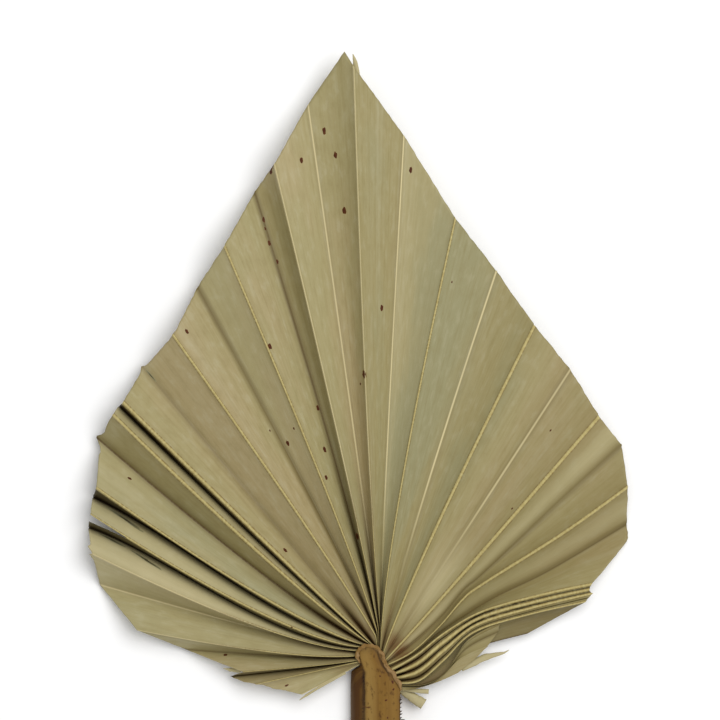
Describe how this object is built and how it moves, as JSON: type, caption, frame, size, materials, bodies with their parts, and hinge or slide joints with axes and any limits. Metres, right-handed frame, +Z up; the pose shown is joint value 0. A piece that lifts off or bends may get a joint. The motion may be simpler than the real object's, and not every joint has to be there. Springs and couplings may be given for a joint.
{
  "type": "dried palm spear",
  "caption": "Dried pleated fan-palm leaf trimmed to a spade-shaped spear on its cut stalk, lying face up, for dried-flower arranging.",
  "frame": {"origin": "a spot on the flat underside of the stalk, 30 mm below the hub of the fan, on the surface the spear lies on", "axes": "+Y from the cut end of the stalk to the tip of the leaf, +Z up from the surface, +X to the right of the leaf seen from above"},
  "size_m": [0.1728, 0.4412, 0.0155],
  "materials": {
    "blade": "matt dry leaf, sage to khaki, with pale nerves on the ridges and brown specks",
    "stalk": "dry fibrous tan-brown stalk with dark toothed margins"
  },
  "bodies": {
    "root": {"leaf_blade": "blade", "leaf_stalk": "stalk"}
  },
  "joints": []
}
